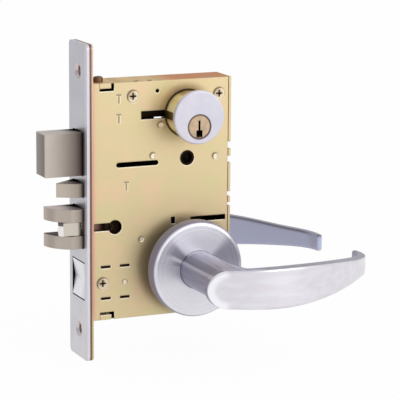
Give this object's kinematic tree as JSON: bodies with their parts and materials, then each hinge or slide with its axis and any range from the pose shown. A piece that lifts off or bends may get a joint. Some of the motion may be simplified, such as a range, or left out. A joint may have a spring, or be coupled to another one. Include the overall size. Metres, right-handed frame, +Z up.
{
  "type": "mortise lock",
  "caption": "Mortise lock with a flat plated case, deadbolt, latch with a pivoting tongue, guard bolt, rocker, key cylinder and curved return levers on round roses.",
  "frame": {"origin": "centre of the armored front's outer face, midway between its two screw holes", "axes": "+X into the door from the front, so the bolts point along -X; -Y is the outside, where the key cylinder is; +Z up"},
  "size_m": [0.2129, 0.192, 0.2032],
  "materials": {
    "zinc_sheet": "zinc plated and yellow passivated",
    "satin_front": "satin chrome",
    "plated_inner_front": "yellow passivated zinc",
    "satin_bolt": "satin nickel",
    "polished_tongue": "polished",
    "bright_rocker": "bright chrome",
    "cylinder_brass": "polished brass with a satin head",
    "plug_brass": "satin nickel silver",
    "satin_lever": "satin chrome",
    "satin_lever_inside": "satin chrome",
    "dark_screws": "dark oxide",
    "plated_screws": "zinc plated",
    "spring_steel": "plain",
    "inner_steel": "plain",
    "bush_bronze": "sintered bronze"
  },
  "bodies": {
    "case": {"case_body": "zinc_sheet", "case_cover": "zinc_sheet", "case_standoffs": "inner_steel", "cover_screws": "plated_screws", "case_rivets": "plated_screws", "inner_front": "plated_inner_front", "armor_front": "satin_front", "bevel_screw": "dark_screws", "cylinder_shell": "cylinder_brass", "driver_pins": "plug_brass", "pin_springs": "spring_steel", "cylinder_clamp": "inner_steel", "clamp_screw": "plated_screws", "stop_bracket": "zinc_sheet", "bracket_screw": "plated_screws", "stop_stud": "inner_steel", "rocker_pin": "inner_steel", "latch_spring": "spring_steel", "guard_spring": "spring_steel", "guard_post": "inner_steel", "deadlock_pin": "inner_steel", "outside_rose": "satin_lever", "inside_rose": "satin_lever_inside", "outside_mounting_plate": "inner_steel", "inside_mounting_plate": "inner_steel", "mounting_posts": "inner_steel", "mounting_screws": "plated_screws", "outside_lever_bush": "bush_bronze", "inside_lever_bush": "bush_bronze", "outside_lever_spring": "spring_steel", "inside_lever_spring": "spring_steel"},
    "deadbolt_assembly": {"deadbolt": "satin_bolt", "deadbolt_tail": "inner_steel", "deadbolt_rivets": "inner_steel"},
    "turn": {"turn_hub": "inner_steel", "throw_lever": "inner_steel", "throw_fork": "inner_steel"},
    "plug": {"cylinder_plug": "plug_brass", "key_pins": "plug_brass", "cylinder_cam": "cylinder_brass", "cam_screws": "plated_screws"},
    "latch": {"latchbolt": "satin_bolt", "tongue_pin": "inner_steel", "latch_tail": "inner_steel", "latch_screw": "plated_screws"},
    "tongue": {"latch_tongue": "polished_tongue"},
    "guard": {"guard_bolt": "satin_bolt", "guard_tail": "inner_steel"},
    "deadlock": {"deadlock_lever": "inner_steel"},
    "rocker": {"rocker_button": "bright_rocker"},
    "stop": {"stop_lever": "inner_steel"},
    "outside_handle": {"outside_lever": "satin_lever", "outside_set_screw": "dark_screws", "outside_spindle": "inner_steel", "outside_hub": "inner_steel"},
    "inside_handle": {"inside_lever": "satin_lever_inside", "inside_set_screw": "dark_screws", "inside_spindle": "inner_steel", "inside_hub": "inner_steel"}
  },
  "joints": [
    {"name": "outside_lever_turn", "type": "hinge", "parent": "case", "child": "outside_handle", "pos_m": [0.06985, 0, -0.044], "axis": [0, 1, 0], "range_deg": [0, 45], "stiffness_Nm_per_rad": 1.2, "springref_deg": -48.7, "deforming": ["outside_lever_spring"]},
    {"name": "inside_lever_turn", "type": "hinge", "parent": "case", "child": "inside_handle", "pos_m": [0.06985, 0, -0.044], "axis": [0, 1, 0], "range_deg": [0, 45], "deforming": ["inside_lever_spring"]},
    {"name": "latch_slide", "type": "slide", "parent": "case", "child": "latch", "axis": [1, 0, 0], "range_m": [0, 0.01905], "deforming": ["latch_spring"]},
    {"name": "tongue_swing", "type": "hinge", "parent": "latch", "child": "tongue", "pos_m": [-0.0035, -0.0053, -0.0163], "axis": [0, 0, -1], "range_deg": [0, 15]},
    {"name": "deadbolt_throw", "type": "slide", "parent": "case", "child": "deadbolt_assembly", "axis": [1, 0, 0], "range_m": [0, 0.0254]},
    {"name": "thumb_turn", "type": "hinge", "parent": "case", "child": "turn", "pos_m": [0.06985, 0, 0.0253], "axis": [0, 1, 0], "range_deg": [0, 90]},
    {"name": "key_turn", "type": "hinge", "parent": "case", "child": "plug", "pos_m": [0.06985, 0, 0.04835], "axis": [0, 1, 0], "range_deg": [-90, 0]},
    {"name": "guard_bolt_slide", "type": "slide", "parent": "case", "child": "guard", "axis": [1, 0, 0], "range_m": [0, 0.0145], "stiffness_N_per_m": 120, "springref_m": -0.012, "deforming": ["guard_spring"]},
    {"name": "deadlock_drop", "type": "hinge", "parent": "case", "child": "deadlock", "pos_m": [0.05, 0, 0.0136], "axis": [0, 1, 0], "range_deg": [-8, 0]},
    {"name": "rocker_tilt", "type": "hinge", "parent": "case", "child": "rocker", "pos_m": [0.0085, 0, -0.05035], "axis": [0, 1, 0], "range_deg": [-5, 5]},
    {"name": "stop_swing", "type": "hinge", "parent": "case", "child": "stop", "pos_m": [0.04, 0, -0.05035], "axis": [0, 1, 0], "range_deg": [-5, 5]}
  ],
  "couplings": [
    {"joint": "inside_lever_turn", "follows": "outside_lever_turn", "ratio": 1},
    {"joint": "latch_slide", "follows": "outside_lever_turn", "m_per_rad": 0.02425},
    {"joint": "thumb_turn", "follows": "deadbolt_throw", "rad_per_m": 61.84},
    {"joint": "key_turn", "follows": "deadbolt_throw", "rad_per_m": -61.84},
    {"joint": "deadlock_drop", "follows": "guard_bolt_slide", "rad_per_m": -9.62},
    {"joint": "stop_swing", "follows": "rocker_tilt", "ratio": -0.969}
  ]
}
